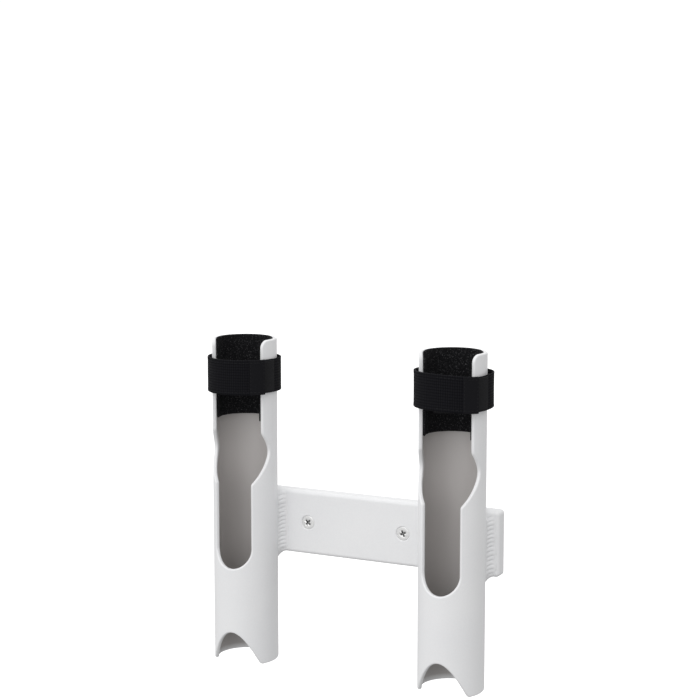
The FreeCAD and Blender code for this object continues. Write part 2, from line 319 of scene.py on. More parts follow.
def mirrored(half):
    """A whole edge from its right half, which starts on the front's centre line."""
    left = half[:0:-1] * np.array([-1, 1])
    return np.concatenate([left, half])


def upper_edge(tube):
    """Rim and slot edge of the unrolled tube, from the seam at its back round to the seam."""
    bulge_z = tube.top - SLOT_BULGE_DEPTH
    end_radius = slot_half_width(bulge_z - SLOT_BULGE_HALF_HEIGHT, bulge_z)
    end_z = tube.top - SLOT_DEPTH + end_radius
    points = []
    for turn in np.linspace(math.pi / 2, 0, 24, endpoint=False):
        across = along_wall(end_radius * math.cos(turn), tube.radius)
        points.append((across, end_z - end_radius * math.sin(turn)))
    corner_z = tube.top - SLOT_CORNER_RADIUS
    for z in np.linspace(end_z, corner_z, 200, endpoint=False):
        points.append((along_wall(slot_half_width(z, bulge_z), tube.radius), z))
    mouth = along_wall(slot_half_width(tube.top, bulge_z), tube.radius)
    points += fillet((mouth, corner_z), (mouth, tube.top), (mouth + SLOT_CORNER_RADIUS, tube.top))
    points.append((math.pi * tube.radius, tube.top))
    return mirrored(resample(points, EDGE_SPACING))


def lower_edge(tube):
    """Bottom rim and notch edge of the unrolled tube, from the seam at its back round to the seam."""
    points = []
    foot = np.array([along_wall(NOTCH_HALF_WIDTH, tube.radius), tube.bottom])
    for share in np.linspace(0, 1, 60):
        across = along_wall(NOTCH_HALF_WIDTH * share, tube.radius)
        point = np.array([across, tube.bottom + NOTCH_HEIGHT * (1 - share**2)])
        if np.linalg.norm(point - foot) > NOTCH_FOOT_LENGTH:
            points.append(point)
    back_up = (points[-1] - foot) / np.linalg.norm(points[-1] - foot) * NOTCH_FOOT_LENGTH
    points += fillet(foot + back_up, foot, foot + np.array([NOTCH_FOOT_LENGTH, 0]))
    points.append((math.pi * tube.radius, tube.bottom))
    return mirrored(resample(points, EDGE_SPACING))


def edge_rings(edge, material_below):
    """Rows of points that follow a wall's edge inwards over its rounding.

    Each point is (across, z, drop from the surface, outward across, outward z, outward radial)."""
    tangent = np.gradient(edge, axis=0)
    tangent /= np.linalg.norm(tangent, axis=1)[:, None]
    inward = np.column_stack([tangent[:, 1], -tangent[:, 0]])
    if not material_below:
        inward = -inward
    rings = []
    crowding = 0.93
    for turn in np.radians([0, 22.5, 45, 67.5, 90]):
        depth = WALL_EDGE_RADIUS * (1 - math.cos(turn))
        place = edge + inward * depth
        drop = np.full(len(edge), WALL_EDGE_RADIUS * (1 - math.sin(turn)))
        outward = -inward * math.cos(turn)
        radial = np.full(len(edge), math.sin(turn))
        ring = np.column_stack([place, drop, outward, radial])
        # Where the edge bends inwards, points that end up too near it are left out.
        gaps = np.linalg.norm(place[:, None] - edge[None], axis=2).min(axis=1)
        rings.append(ring[gaps > crowding * depth - 1e-6] if depth > 0 else ring)
    return rings


def wall_points(tube, rings):
    """Points on the unrolled wall away from its edges, in rows that the seam's two sides share."""
    half = math.pi * tube.radius
    edges, outward = rings[:, :2], rings[:, 3:5]
    inner = []
    margin = WALL_EDGE_RADIUS + 0.9
    for z in np.linspace(tube.bottom, tube.top, WALL_ROWS)[1:-1]:
        for across in np.linspace(-half, half, WALL_COLUMNS):
            apart = np.array([across, z]) - edges
            gaps = np.linalg.norm(apart, axis=1)
            nearest = gaps.argmin()
            in_wall = np.dot(apart[nearest], outward[nearest]) < 0
            if in_wall and gaps[nearest] > margin:
                inner.append((across, z))
    return np.array(inner)


def unrolled_wall(tube):
    """The wall laid flat: points as in edge_rings, triangles, both edges' points and the outline."""
    upper, lower = upper_edge(tube), lower_edge(tube)
    upper_rings = edge_rings(upper, material_below=True)
    lower_rings = edge_rings(lower, material_below=False)
    inner = wall_points(tube, np.concatenate([upper_rings[0], lower_rings[0]]))
    flat = np.column_stack([inner, np.zeros((len(inner), 3)), np.ones(len(inner))])
    points = np.concatenate([upper_rings[0], lower_rings[0], *upper_rings[1:], *lower_rings[1:],
                             flat])
    upper_ids = list(range(len(upper)))
    lower_ids = list(range(len(upper), len(upper) + len(lower)))
    outline = upper_ids + lower_ids[::-1]
    coords = [Vector(p[:2]) for p in points]
    inside_only = 1
    _, _, triangles, sources, _, _ = delaunay_2d_cdt(coords, [], [outline], inside_only, 1e-5, True)
    source = [ids[0] for ids in sources]
    # A triangle with all its corners on the edges spans the slot or the notch.
    triangles = [t for t in triangles if any(source[v] >= len(outline) for v in t)]
    new_id = {old: new for new, olds in enumerate(sources) for old in olds}
    edges = [[new_id[i] for i in ids] for ids in (upper_ids, lower_ids)]
    return points[source], triangles, edges, points[: len(outline), :2]


def make_tube(side):
    """Slotted and notched tube with rounded edges, shaded by its exact normals."""
    tube = measure_tube(side)
    points, triangles, edges, outline = unrolled_wall(tube)
    flat, drop, edge_out, radial_out = np.split(points, [2, 3, 5], axis=1)
    angle = flat[:, 0] / tube.radius + math.radians(TUBE_TURN[side])
    count = len(points)
    sideways = np.column_stack([np.cos(angle), np.sin(angle), np.zeros(count)])
    radial = np.column_stack([np.sin(angle), -np.cos(angle), np.zeros(count)])
    up = np.array([0.0, 0.0, 1.0])
    middle = np.array([tube.x, tube.y, 0]) + flat[:, 1:] * up
    vertices = np.concatenate([middle + radial * (tube.radius - drop),
                               middle + radial * (tube.radius - WALL + drop)])
    edge_part = sideways * edge_out[:, :1] + up * edge_out[:, 1:]
    normals = np.concatenate([edge_part + radial * radial_out, edge_part - radial * radial_out])
    faces = triangles + [[v + count for v in reversed(t)] for t in triangles]
    for ids, flip in zip(edges, (False, True)):
        for one, two in zip(ids, ids[1:]):
            quad = [one, two, two + count, one + count]
            faces.append(quad[::-1] if flip else quad)
    # Painted shade: the inner face darkens with its distance from the wall's edges.
    gaps = np.array([np.linalg.norm(outline - p, axis=1).min() for p in flat])
    bore_shade_mask = np.clip((gaps - 1.5) / 3.0, 0, 1)
    shade = np.concatenate([np.zeros(count), bore_shade_mask])
    kept, faces = weld(vertices, faces)
    piece = make_object(f"{side}_rod_tube", vertices[kept], faces, normals[kept], shade=shade[kept])
    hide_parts(f"{side}_tube")
    return piece


# ---- weld beads


def knot_values(knots, places):
    """Values at some places, straight between knots of (place, value)."""
    return np.interp(places, *zip(*knots))


def bead_path(bar_low, bar_high, wrap_over, wrap_under):
    """(y, z, outward y, outward z) along the bar's surface: over its top edge, down and under it."""
    spacing = 0.25
    radius = BAR_EDGE_RADIUS
    near = bar_low[1] + radius
    top, bottom = bar_high[2], bar_low[2]
    points = [(near + wrap_over, top, 0.0, 1.0)]
    for first, last, centre_z in ((90, 180, top - radius), (180, 270, bottom + radius)):
        for turn in np.radians(np.linspace(first, last, 13)):
            out_y, out_z = math.cos(turn), math.sin(turn)
            points.append((near + radius * out_y, centre_z + radius * out_z, out_y, out_z))
    points.append((near + wrap_under, bottom, 0.0, -1.0))
    points = np.array(points)
    along = distances(points[:, :2])
    places = np.linspace(0, along[-1], math.ceil(along[-1] / spacing))
    path = np.column_stack([np.interp(places, along, column) for column in points.T])
    return path, places


def puddles(length, seeded):
    """Distances along a bead at which one weld puddle ends and the next starts."""
    edges = [-10.0]
    while edges[-1] < length + 20:
        edges.append(edges[-1] + RIPPLE_PITCH * seeded.uniform(0.85, 1.15))
    return np.array(edges)


def ripple(along, edges):
    """Scalloped height, 0 in the valleys and 1 on the crests, of overlapping weld puddles."""
    index = np.searchsorted(edges, along) - 1
    share = (along - edges[index]) / (edges[index + 1] - edges[index])
    return np.sqrt(np.clip(1 - (2 * share - 1) ** 2, 0, 1)) * (0.75 + 0.25 * share)


def onto_bar(point, bar_low, bar_high, sink):
    """Moves a point to the bar's rounded surface, or a little under it."""
    core = np.clip(point, bar_low + BAR_EDGE_RADIUS, bar_high - BAR_EDGE_RADIUS)
    core[0] = point[0]
    off = point - core
    return core + off * (BAR_EDGE_RADIUS - sink) / np.linalg.norm(off)


def bead_section(tube, bar, surface, sizes, wander, wave):
    """Points from the toe on the tube to the toe on the bar, then one deep in the corner.

    surface is a row of bead_path, sizes are the knot values there and wave is the ripples' height."""
    y, z, out_y, out_z = surface
    reach_up, reach_over, crown, strength = sizes
    offset = y - tube.y
    corner = np.array([math.sqrt(tube.radius**2 - offset**2), y, z])
    out = np.array([0.0, out_y, out_z])
    sideways = np.array([corner[0], offset, 0.0]) / tube.radius
    sideways = sideways - out * np.dot(sideways, out)
    sideways /= np.linalg.norm(sideways)
    tube_toe = corner + out * (reach_up + 0.3 * wander)
    toe_offset = min(tube_toe[1] - tube.y, tube.radius - 0.1)
    tube_toe[0] = math.sqrt(tube.radius**2 - toe_offset**2) - BEAD_SINK
    bar_toe = onto_bar(corner + sideways * (reach_over + wander), *bar, BEAD_SINK)
    outward = sideways + out
    outward /= np.linalg.norm(outward)
    middle = np.clip(2.2 * BEAD_BOW - 1.0, 0, 1)
    height = crown * BEAD_BOW + RIPPLE_HEIGHT * strength * (wave - 0.6) * middle
    points = []
    for a, b, lift in zip((1 - ACROSS_BEAD) ** 1.35, ACROSS_BEAD**1.35, height):
        points.append(tube_toe * a + bar_toe * b + corner * (1 - a - b) + outward * lift)
    points.append(corner - sideways * BEAD_ROOT - out * BEAD_ROOT)
    return points


def make_bead(side, place, away):
    """Rippled bead in the corner between a tube's side and the bar; away is -1 or 1 along X."""
    seeded = random.Random(f"{side} {place} weld")
    tube = measure_tube(side)
    bar = measure("crossbar")
    path, along = bead_path(*bar, seeded.uniform(3.5, 5.0), seeded.uniform(5.5, 7.0))
    edges = puddles(along[-1], random.Random(f"{side} {place} ripples"))
    profiles = (BEAD_ON_TUBE, BEAD_ON_BAR, BEAD_CROWN, RIPPLE_STRENGTH)
    sizes = np.column_stack([knot_values(knots, along / along[-1]) for knots in profiles])
    vertices = []
    for surface, size, length in zip(path, sizes, along):
        wander = 0.25 * math.sin(length * 0.55 + seeded.random() * 0.2)
        wave = ripple(length + 1.4 * BEAD_BOW + 2.6 * ACROSS_BEAD, edges)
        vertices += bead_section(tube, bar, surface, size, wander, wave)
    vertices = np.array(vertices)
    vertices[:, 0] = tube.x + away * vertices[:, 0]
    faces = capped_faces(len(path), len(ACROSS_BEAD) + 1)
    piece = make_object(f"{side}_{place}_bead", vertices, faces)
    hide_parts(f"{side}_{place}_weld")
    return piece


# ---- ribbons: liner, straps, patches


def path_frame(path):
    """Outward unit normals, seen from above, and distance along a line round a tube."""
    path = path[:, :2]
    tangent = np.gradient(path, axis=0)
    tangent /= np.linalg.norm(tangent, axis=1)[:, None]
    normal = np.column_stack([tangent[:, 1], -tangent[:, 0]])
    middle = path[len(path) // 2]
    if np.dot(normal[len(path) // 2], middle) < 0:
        normal = -normal
    return normal, distances(path)


def rounded_ends(path, thickness):
    """Adds stations so that a ribbon's ends can be rounded; returns path and thickness shares."""
    _, along = path_frame(path)
    radius = thickness / 2
    turns = np.radians([12, 30, 50, 70])
    near = radius * (1 - np.cos(turns))
    extra = np.concatenate([near, along[-1] - near])
    stations = np.unique(np.concatenate([along[(along > radius) & (along < along[-1] - radius)],
                                         extra, [radius, along[-1] - radius]]))
    to_end = np.minimum(stations, along[-1] - stations)
    inside = np.clip(1 - to_end / radius, 0, 1)
    share = np.maximum(np.sqrt(1 - inside**2), 0.2)
    new_path = np.column_stack([np.interp(stations, along, column) for column in path.T])
    return new_path, share


def section(width, thickness, edge_radius, spacing):
    """Front and back half of a rounded rectangle's outline, as (height, depth outward)."""
    half, deep = width / 2, thickness / 2
    radius = min(edge_radius, deep)
    flat = np.linspace(-(half - radius), half - radius, max(2, round(width / spacing)))
    turns = np.radians([22.5, 45, 67.5])
    top = [(half - radius + radius * math.sin(t), deep - radius + radius * math.cos(t))
           for t in turns]
    top.append((half, deep - radius))
    bottom = [(-h, d) for h, d in top[::-1]]
    front = bottom + [(h, deep) for h in flat] + top
    return front, [(h, -d) for h, d in front[::-1]]


def ribbon(name, path, centre, width, thickness, spacing=1.2, edge_radius=0.6, lift=None):
    """Thick upright band along a line of (x, y, rise) about a centre, with rounded edges and ends.

    lift(along, height, outside) moves its outer or inner face outwards."""
    path, share = rounded_ends(path, thickness)
    normal, along = path_frame(path)
    front, back = section(width, thickness, edge_radius, spacing)
    loop = front + back
    vertices, uvs = [], []
    for (x, y, rise), (nx, ny), thick, length in zip(path, normal, share, along):
        for index, (height, depth) in enumerate(loop):
            outside = index < len(front)
            out = depth * thick
            if lift:
                out += lift(length, height, outside)
            vertices.append((x + nx * out, y + ny * out, height + rise))
            uvs.append((length + (0 if outside else 0.35), height))
    columns = len(loop)
    faces = ring_faces(len(path), columns)
    for start in (0, (len(path) - 1) * columns):
        last = start + columns - 1
        faces += [(start + i, start + i + 1, last - 1 - i, last - i) for i in range(len(front) - 1)]
    return make_object(name, np.array(vertices) + np.array(centre), faces, uvs=uvs)


def smoothed(knots, angles):
    """Values at some angles, from knots of (angle, value), with the kinks at the knots evened out."""
    window = np.arange(-KNOT_SMOOTHING, KNOT_SMOOTHING + 1, 2)
    return sum(knot_values(knots, angles + shift) for shift in window) / len(window)


def layer_line(radii, rises, first, last, out=0.0):
    """Middle line (x, y, rise) of something that follows a strap layer, out further from the tube."""
    angles = np.linspace(first, last, 181)
    return np.column_stack([polar(smoothed(radii, angles) + out, angles), smoothed(rises, angles)])


def make_liner(side):
    """Soft black pad in the tube's mouth, pressed in round the rivet."""
    tube = measure_tube(side)
    low, high = measure(f"{side}_liner")
    height = high[2] - low[2]
    centre = (tube.x, tube.y, (low[2] + high[2]) / 2)
    radius = tube.radius - WALL - LINER_THICKNESS / 2 - LINER_CLEARANCE
    path = layer_line([(0, radius)], [(0, 0.0)], LINER_HALF_GAP, 360 - LINER_HALF_GAP)
    rivet = (radius * math.radians(180 - LINER_HALF_GAP), strap_centre(side)[2] - centre[2])

    def lift(along, height_at, outside):
        """The tube's side is even; the open side is fuzzy, wavy and dented at the rivet."""
        if outside:
            return 0.0
        fuzz = 0.22 * noise.noise(Vector((along * 1.3, height_at * 1.3, SIDES[side])))
        waves = 0.3 * noise.noise(Vector((along * 0.25, height_at * 0.2, 5 + SIDES[side])))
        to_rivet = math.hypot(along - rivet[0], height_at - rivet[1])
        return fuzz + waves + RIVET_DENT * math.exp(-((to_rivet / RIVET_DENT_RADIUS) ** 2))

    piece = ribbon(f"{side}_mouth_liner", path, centre, height, LINER_THICKNESS, spacing=0.8,
                   edge_radius=0.9, lift=lift)
    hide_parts(f"{side}_liner")
    return piece


def webbing_relief(along, height, outside):
    """Slight waviness of a stiff webbing, and its thicker woven edges."""
    wave = 0.05 * math.sin(along * 0.33) * math.cos(height * 0.2)
    edge = WOVEN_EDGE.proud if abs(height) > UNDER_WIDTH / 2 - WOVEN_EDGE.width else 0.0
    return wave + (edge if outside else -edge)


def make_straps(side):
    """The two arms of a strap. They meet behind the rivet."""
    x, y, z = strap_centre(side)
    outer_line = layer_line(OUTER_RADII[side], OUTER_RISES[side], -180, 60)
    outer = ribbon(f"{side}_strap_outer", outer_line, (x, y, z), OUTER_WIDTH, WEBBING,
                   lift=webbing_relief)
    under_line = layer_line(UNDER_RADII[side], UNDER_RISES[side], 180, -8)
    under = ribbon(f"{side}_strap_under", under_line, (x, y, z), UNDER_WIDTH, WEBBING,
                   lift=webbing_relief)
    for piece, arm, beside in ((outer, "flap", BEND.flap_x), (under, "tab", BEND.tab_x)):
        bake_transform(piece)
    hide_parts(f"{side}_strap_flap", f"{side}_strap_band")
    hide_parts(f"{side}_strap_tab")
    return [outer, under]


def make_tape(name, side, radii, rises, tape, relief):
    """Tape sewn flat onto a strap layer, its face roughened by a relief in millimetres."""

    def lift(along, height, _):
        """Roughness of both faces."""
        return relief * noise.noise(Vector((along * 1.9, height * 1.9, SIDES[side] * 7)))

    line = layer_line(radii[side], rises[side], tape.first, tape.last, tape.out)
    return ribbon(f"{side}_{name}", line, strap_centre(side), tape.width, tape.thickness,
                  spacing=0.8, edge_radius=tape.thickness * 0.45, lift=lift)


def on_flap(side, angle, height, out):
    """Place on a strap's outer arm and its directions: along it, up, and away from the tube."""
    x, y = polar(smoothed(OUTER_RADII[side], angle) + out, angle)
    rise = smoothed(OUTER_RISES[side], angle)
    turn = math.radians(angle)
    along = np.array([math.cos(turn), math.sin(turn), 0.0])
    away = np.array([math.sin(turn), -math.cos(turn), 0.0])
    place = np.array(strap_centre(side)) + np.array([x, y, height + rise])
    return place, along, np.array([0.0, 0.0, 1.0]), away


def stitch(place, long_way, wide_way, away):
    """Visible turn of the thread, a small ellipsoid, as (vertices, faces)."""
    bands, columns = 7, 8
    vertices = []
    for band in np.linspace(-0.96, 0.96, bands):
        ring = math.sqrt(1 - band**2)
        for turn in np.linspace(0, 2 * math.pi, columns, endpoint=False):
            vertices.append(place + long_way * band * STITCH.length / 2
                            + wide_way * ring * math.cos(turn) * STITCH.width / 2
                            + away * ring * math.sin(turn) * STITCH.proud)
    return vertices, capped_faces(bands, columns)


def hook(place, along, up, away, lean):
    """Tiny bent nylon hook, as (vertices, faces)."""
    stations = ((-0.1, 0.0, 0.14), (0.3, 0.0, 0.11), (0.52, 0.12, 0.1), (0.6, 0.3, 0.09),
                (0.5, 0.44, 0.05))
    columns = 5
    vertices = []
    for height, bend, radius in stations:
        for turn in np.linspace(0, 2 * math.pi, columns, endpoint=False):
            vertices.append(place - away * (height + 0.5 * radius * math.sin(turn))
                            + along * (bend * lean + radius * math.cos(turn))
                            + up * radius * math.sin(turn))
    return vertices, capped_faces(len(stations), columns)


def gather(name, parts):
    """One object from many small (vertices, faces) parts."""
    vertices, faces = [], []
    for part_vertices, part_faces in parts:
        start = len(vertices)
        vertices += part_vertices
        faces += [tuple(v + start for v in face) for face in part_faces]
    return make_object(name, vertices, faces)


def make_stitches(side):
    """Thread that sews the end tape and the hook tape to the flap: two rows across, two along."""
    stitches = []
    surface = END_TAPE.out + END_TAPE.thickness / 2
    reach = END_TAPE.width / 2 - 2.0
    for angle in (END_TAPE.first + 1.6, END_TAPE.last - 2.2):
        for height in np.arange(-reach, reach, STITCH.pitch):
            place, along, up, away = on_flap(side, angle, height, surface)
            stitches.append(stitch(place, up, along, away))
    step = math.degrees(STITCH.pitch / 31.0)
    for height in (-reach, reach):
        for angle in np.arange(HOOK_TAPE.first + 2, END_TAPE.last - 3, step):
            out = surface if angle > END_TAPE.first else WEBBING / 2
            stitches.append(stitch(*on_flap(side, angle, height, out)))
    return gather(f"{side}_stitches", stitches)


def make_hooks(side):
    """Field of hooks on the inside of the hook tape, leaning the other way in every other row."""
    seeded = random.Random(f"{side} hooks")
    hooks = []
    out = HOOK_TAPE.out - HOOK_TAPE.thickness / 2
    margin = 2.5
    step = math.degrees(HOOKS.step / 29.5)
    for row, height in enumerate(np.arange(-HOOKS.half_height, HOOKS.half_height + 0.1, HOOKS.row)):
        lean = 1 if row % 2 else -1
        for angle in np.arange(HOOK_TAPE.first + margin, HOOK_TAPE.last - margin, step):
            shifted = angle + seeded.uniform(-HOOKS.jitter_deg, HOOKS.jitter_deg)
            hooks.append(hook(*on_flap(side, shifted, height, out), lean))
    return gather(f"{side}_hooks", hooks)


def make_patches(side):
    """Hook and loop tapes sewn to the arms, and the smooth tape folded over the flap's end."""
    hook_tape = make_tape("hook_tape", side, OUTER_RADII, OUTER_RISES, HOOK_TAPE, 0.0)
    end_tape = make_tape("end_tape", side, OUTER_RADII, OUTER_RISES, END_TAPE, 0.0)
    loop_tape = make_tape("loop_tape", side, UNDER_RADII, UNDER_RISES, LOOP_TAPE, 0.12)
    stitches, hooks = make_stitches(side), make_hooks(side)
    for piece in (hook_tape, end_tape, stitches, hooks):
        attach(piece, f"{side}_flap")
    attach(loop_tape, f"{side}_tab")
    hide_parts(f"{side}_hook_patch")
    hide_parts(f"{side}_loop_patch")
    return SimpleNamespace(smooth=(hook_tape, end_tape), thread=(stitches, hooks), loops=loop_tape)


# ---- turned parts


def lathe(rings, columns=64, hole=False):
    """Turned shape from rings of (place along Y, radius or radii), capped or with a hole."""
    angles = np.linspace(0, 2 * math.pi, columns, endpoint=False)
    vertices = []
    for along, radius in rings:
        for angle, r in zip(angles, np.broadcast_to(radius, columns)):
            vertices.append((r * math.cos(angle), along, r * math.sin(angle)))
    rows = len(rings)
    faces = ring_faces(rows, columns, joined=True) if hole else capped_faces(rows, columns)
    return np.array(vertices), faces


def cross_radius(angles, length, width, turn):
    """Outline of a cross-shaped recess at each angle: the larger of two bars."""
    radii = []
    for angle in angles + turn:
        c, s = abs(math.cos(angle)) + 1e-6, abs(math.sin(angle)) + 1e-6
        one = min(length / c, width / s)
        two = min(length / s, width / c)
        radii.append(max(one, two))
    return np.array(radii)


def thread_rings(angles, tip):
    """Rings of a cut thread that starts in the shank and runs out at the screw's point."""
    rings = []
    for along in np.arange(THREAD.start, tip - 0.3, 0.2):
        phase = (along / THREAD.pitch - angles / (2 * math.pi)) % 1.0
        tooth = np.clip(1 - np.abs(phase - 0.5) * 3.2, 0, 1)
        grow = min(1.0, max(0.0, (along - THREAD.start) / THREAD.fade))
        body = THREAD.root + (THREAD.crest - THREAD.root) * tooth * grow
        point = min(1.0, (tip - along) / THREAD.point)
        rings.append((along, body * point + 0.1 * (1 - point)))
    return rings


def make_screw(side):
    """Countersunk wall screw with a cross recess and a cut thread."""
    low, high = measure(f"{side}_wall_screw")
    face, tip = low[1], high[1]
    columns = 96
    angles = np.linspace(0, 2 * math.pi, columns, endpoint=False)
    turn = math.radians(RECESS_TURN[side])
    rings = [(face + RECESS_FLOOR, 0.05)]
    for depth, length, width in RECESS:
        rings.append((face + depth, cross_radius(angles, length, width, turn)))
    head = (high[0] - low[0]) / 2 - 0.2
    rings.append((face - 0.02, 3.6))
    rings += [(face + depth, head + more) for depth, more in HEAD_EDGE]
    rings += [(face + depth, radius) for depth, radius in SHANK]
    vertices, faces = lathe(rings + thread_rings(angles, tip), columns)
    vertices += np.array([(low[0] + high[0]) / 2, 0.0, (low[2] + high[2]) / 2])
    # Painted shade: the recess rings are darkened by the material.
    shade = np.zeros(len(vertices))
    shade[: len(RECESS) * columns] = 1.0
    piece = make_object(f"{side}_screw", vertices, faces, shade=shade)
    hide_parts(f"{side}_wall_screw")
    return piece


def make_rivet(side):
    """Domed head inside the liner, rolled tail over the webbing at the tube's back, and a washer."""
    low, high = measure(f"{side}_strap_rivet")
    centre = np.array([(low[0] + high[0]) / 2, 0.0, (low[2] + high[2]) / 2])
    rings = [(low[1] + step, radius) for step, radius in RIVET_HEAD]
    rings += [(high[1] + step, radius) for step, radius in RIVET_TAIL]
    vertices, faces = lathe(rings)
    rivet = make_object(f"{side}_rivet", vertices + centre, faces)
    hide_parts(f"{side}_strap_rivet")
    tube = measure_tube(side)
    radius = tube.radius - WALL - LINER_THICKNESS
    vertices, faces = lathe(WASHER, hole=True)
    bend = np.sqrt(radius**2 - vertices[:, 0] ** 2) - radius
    vertices[:, 1] += tube.y + radius - WASHER_RISE + bend
    washer = make_object(f"{side}_washer", vertices + centre, faces)
    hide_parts(f"{side}_rivet_washer")
    return [rivet, washer]


# ---- materials


class Graph:
    """Shorthand for building one material's nodes."""

    def __init__(self, name, **settings):
        self.material = bpy.data.materials.new(name)
        self.material.use_nodes = True
        self.nodes = self.material.node_tree.nodes
        self.links = self.material.node_tree.links
        self.shader = self.nodes["Principled BSDF"]
        for key, value in settings.items():
            self.shader.inputs[key.replace("_", " ")].default_value = value

    def put(self, socket, value):
        """Links a socket or sets a number."""
        if isinstance(value, bpy.types.NodeSocket):
            self.links.new(value, socket)
        else:
            socket.default_value = value

    def feed(self, name, socket):
        """Links a socket to one of the shader's inputs."""
        self.links.new(socket, self.shader.inputs[name])

    def math(self, operation, *values):
        """Result of one operation on sockets or numbers."""
        node = self.nodes.new("ShaderNodeMath")
        node.operation = operation
        for socket, value in zip(node.inputs, values):
            self.put(socket, value)
        return node.outputs[0]

    def place(self):
        """Object coordinates in millimetres."""
        source = self.nodes.new("ShaderNodeTexCoord")
        scale = self.nodes.new("ShaderNodeVectorMath")
        scale.operation = "SCALE"
        scale.inputs["Scale"].default_value = 1000.0
        self.links.new(source.outputs["Object"], scale.inputs[0])
        return scale.outputs[0]

    def along_and_height(self):
        """Distance along the piece, height on it and the pair of both, in millimetres."""
        source = self.nodes.new("ShaderNodeUVMap")
        source.uv_map = "UVMap"
        parts = self.nodes.new("ShaderNodeSeparateXYZ")
        self.links.new(source.outputs["UV"], parts.inputs[0])
        return parts.outputs["X"], parts.outputs["Y"], source.outputs["UV"]

    def noise(self, vector, scale, detail=2.0, roughness=0.5):
        """Soft noise from 0 to 1."""
        node = self.nodes.new("ShaderNodeTexNoise")
        self.links.new(vector, node.inputs["Vector"])
        node.inputs["Scale"].default_value = scale
        node.inputs["Detail"].default_value = detail
        node.inputs["Roughness"].default_value = roughness
        return node.outputs["Fac"]

    def cells(self, vector, scale):
        """Distance to the nearest of scattered points."""
        node = self.nodes.new("ShaderNodeTexVoronoi")
        self.links.new(vector, node.inputs["Vector"])
        node.inputs["Scale"].default_value = scale
        return node.outputs["Distance"]

    def range(self, value, low, high, to_low, to_high):
        """Maps low to to_low and high to to_high."""
        node = self.nodes.new("ShaderNodeMapRange")
        for socket, given in zip(node.inputs, (value, low, high, to_low, to_high)):
            self.put(socket, given)
        return node.outputs[0]

    def colours(self, factor, *stops):
        """Colour ramp from (place, (r, g, b)) stops."""
        node = self.nodes.new("ShaderNodeValToRGB")
        ramp = node.color_ramp
        while len(ramp.elements) < len(stops):
            ramp.elements.new(0.5)
        for element, (place, colour) in zip(ramp.elements, stops):
            element.position = place
            element.color = (*colour, 1.0)
        self.links.new(factor, node.inputs[0])
        return node.outputs[0]

    def shade(self, plain, shaded):
        """Painted shade: colour that goes from one to the other where the mesh's shade is 1."""
        source = self.nodes.new("ShaderNodeAttribute")
        source.attribute_name = "shade"
        node = self.nodes.new("ShaderNodeMix")
        node.data_type = "RGBA"
        self.links.new(source.outputs["Fac"], node.inputs[0])
        self.links.new(plain, node.inputs[6])
        node.inputs[7].default_value = (*shaded, 1.0)
        return node.outputs[2]

    def bump(self, height, distance_mm, strength):
        """Relief on the shader's normal."""
        node = self.nodes.new("ShaderNodeBump")
        node.inputs["Distance"].default_value = distance_mm * MM
        node.inputs["Strength"].default_value = strength
        self.links.new(height, node.inputs["Height"])
        self.feed("Normal", node.outputs[0])


def powder_coat(name, bore_shade=None):
    """White baked powder: faint orange peel, almost even colour, soft gloss; painted shade darkens a
    tube's inside.
    """
    g = Graph(name, IOR=1.5)
    place = g.place()
    peel = g.noise(place, 0.75, 2.0, 0.45)
    patches = g.noise(place, 0.02, 3.0)
    tone = g.math("ADD", g.math("MULTIPLY", peel, 0.35), g.math("MULTIPLY", patches, 0.65))
    colour = g.colours(tone, (0.35, (0.785, 0.788, 0.80)), (0.65, (0.82, 0.822, 0.828)))
    if bore_shade:
        colour = g.shade(colour, bore_shade)
    g.feed("Base Color", colour)
    g.feed("Roughness", g.range(patches, 0.3, 0.7, 0.33, 0.42))
    g.bump(peel, 0.03, 0.6)
    return g.material


def felt():
    """Black needled felt with pale flecks."""
    g = Graph("liner_felt_black", Roughness=0.95, Specular_IOR_Level=0.1)
    place = g.place()
    fibres = g.noise(place, 2.2, 5.0, 0.7)
    flecks = g.noise(place, 1.1, 2.0, 0.6)
    g.feed("Base Color", g.colours(
        flecks, (0.0, (0.005, 0.005, 0.006)), (0.58, (0.009, 0.009, 0.010)),
        (0.68, (0.07, 0.07, 0.073)), (1.0, (0.14, 0.14, 0.145))))
    g.bump(fibres, 0.6, 1.0)
    return g.material


def woven(name, rib, row, valley_shade, light, depth, specular):
    """Black webbing with a grid of ribs and cross yarns, rib and row millimetres apart; its valleys
    get painted shade.
    """
    g = Graph(name, Specular_IOR_Level=specular)
    along, height, uv = g.along_and_height()
    wobble = g.math("MULTIPLY", g.noise(uv, 0.35, 2.0), 0.3)
    ridges = []
    for value, pitch in ((along, rib), (height, row)):
        phase = g.math("ADD", g.math("DIVIDE", value, pitch), wobble)
        ridges.append(g.math("ABSOLUTE", g.math("SINE", g.math("MULTIPLY", phase, math.pi))))
    yarn = g.math("MULTIPLY", g.math("POWER", ridges[0], 0.6), g.math("POWER", ridges[1], 0.5))
    relief = g.math("ADD", yarn, g.math("MULTIPLY", g.noise(uv, 6.0, 2.0), 0.25))
    # Painted shade: the colour darkens down in the relief's valleys between the yarns.
    g.feed("Base Color", g.colours(relief, (0.15, valley_shade), (0.95, light)))
    g.feed("Roughness", g.range(yarn, 0.0, 1.0, 0.9, 0.62))
    g.bump(relief, depth, 0.9)
    return g.material


def thread():
    """Black nylon thread and hooks."""
    g = Graph("thread_black", Roughness=0.6, Specular_IOR_Level=0.2)
    fibres = g.noise(g.place(), 5.0, 2.0)
    g.feed("Base Color", g.colours(fibres, (0.3, (0.003, 0.003, 0.004)),
                                   (0.7, (0.011, 0.011, 0.013))))
    return g.material


